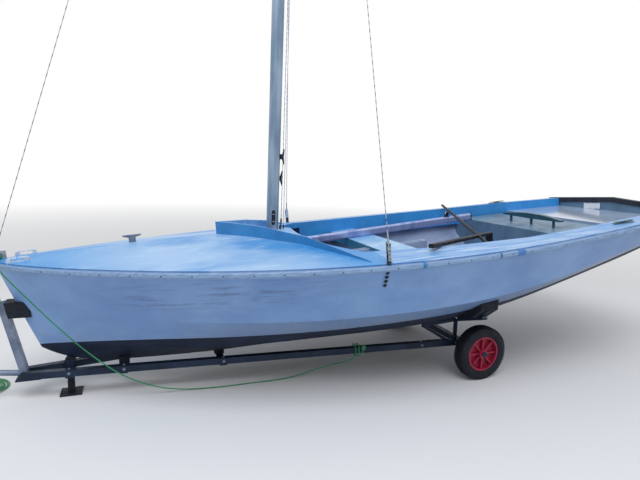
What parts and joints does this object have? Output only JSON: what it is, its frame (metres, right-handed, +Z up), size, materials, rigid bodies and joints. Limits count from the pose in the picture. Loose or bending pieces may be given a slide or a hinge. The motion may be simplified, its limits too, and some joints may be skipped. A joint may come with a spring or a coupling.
{
  "type": "sailing dinghy on launching trolley",
  "caption": "Double-chine open sailing dinghy with stayed mast, boom and tiller stowed in the cockpit, on a launching trolley with free wheels.",
  "frame": {"origin": "centre of the whole object's footprint box, on the floor", "axes": "+X towards the bow, +Y to port, +Z up, the floor at Z = 0"},
  "size_m": [5.2878, 1.941, 7.3801],
  "materials": {
    "anodised": "dull grey-blue anodised",
    "black_rubber": "black rubber",
    "blue_paint": "mid blue gloss paint",
    "dark_wood": "dark stained wood",
    "deck_paint": "pale blue deck paint, worn",
    "galvanised": "dark weathered galvanised steel",
    "green_rope": "green braided polypropylene",
    "grey_plastic": "grey moulded plastic",
    "hull_paint": "white gloss topsides over a navy bottom, worn",
    "interior_paint": "dull grey interior paint",
    "red_plastic": "red moulded plastic",
    "stainless": "weathered stainless steel",
    "strake_wood": "weathered grey-white painted wood",
    "thwart_paint": "blue and teal paint",
    "tyre_rubber": "dusty black tyre"
  },
  "bodies": {
    "boat_and_trolley": {"aft_bulkhead": "deck_paint", "boom": "anodised", "bow_fairlead_port": "stainless", "bow_fairlead_starboard": "stainless", "bow_line": "green_rope", "bow_line_coil": "green_rope", "bow_post": "galvanised", "bow_snubber": "black_rubber", "breakwater": "blue_paint", "centreboard_case": "interior_paint", "chainplate_port": "stainless", "chainplate_starboard": "stainless", "cradle_arm_port": "galvanised", "cradle_arm_starboard": "galvanised", "cradle_pad_port": "black_rubber", "cradle_pad_starboard": "black_rubber", "deck_cleat": "grey_plastic", "drawbar_handle": "galvanised", "foredeck": "deck_paint", "forestay": "stainless", "hull": "hull_paint", "keel_blocks": "black_rubber", "keel_roller": "black_rubber", "mast": "anodised", "painter_rope": "green_rope", "prop_foot": "galvanised", "rubbing_strake_port": "strake_wood", "rubbing_strake_starboard": "strake_wood", "rudder_gudgeons": "stainless", "rudder_strap": "stainless", "shroud_port": "stainless", "shroud_starboard": "stainless", "side_deck_port": "deck_paint", "side_deck_starboard": "deck_paint", "sole": "interior_paint", "stemhead_fitting": "stainless", "stern_deck": "deck_paint", "thwart": "thwart_paint", "tiller": "dark_wood", "tiller_extension": "anodised", "transom_cap": "dark_wood", "traveller_beam": "blue_paint", "trolley_frame": "galvanised"},
    "wheel_port": {"tyre_port": "tyre_rubber", "hub_port": "red_plastic"},
    "wheel_starboard": {"tyre_starboard": "tyre_rubber", "hub_starboard": "red_plastic"}
  },
  "joints": [
    {"name": "wheel_port_axle", "type": "hinge", "parent": "boat_and_trolley", "child": "wheel_port", "pos_m": [-0.76, 0.548, 0.185], "axis": [0, 1, 0], "continuous": true},
    {"name": "wheel_starboard_axle", "type": "hinge", "parent": "boat_and_trolley", "child": "wheel_starboard", "pos_m": [-0.76, -0.548, 0.185], "axis": [0, 1, 0], "continuous": true}
  ]
}
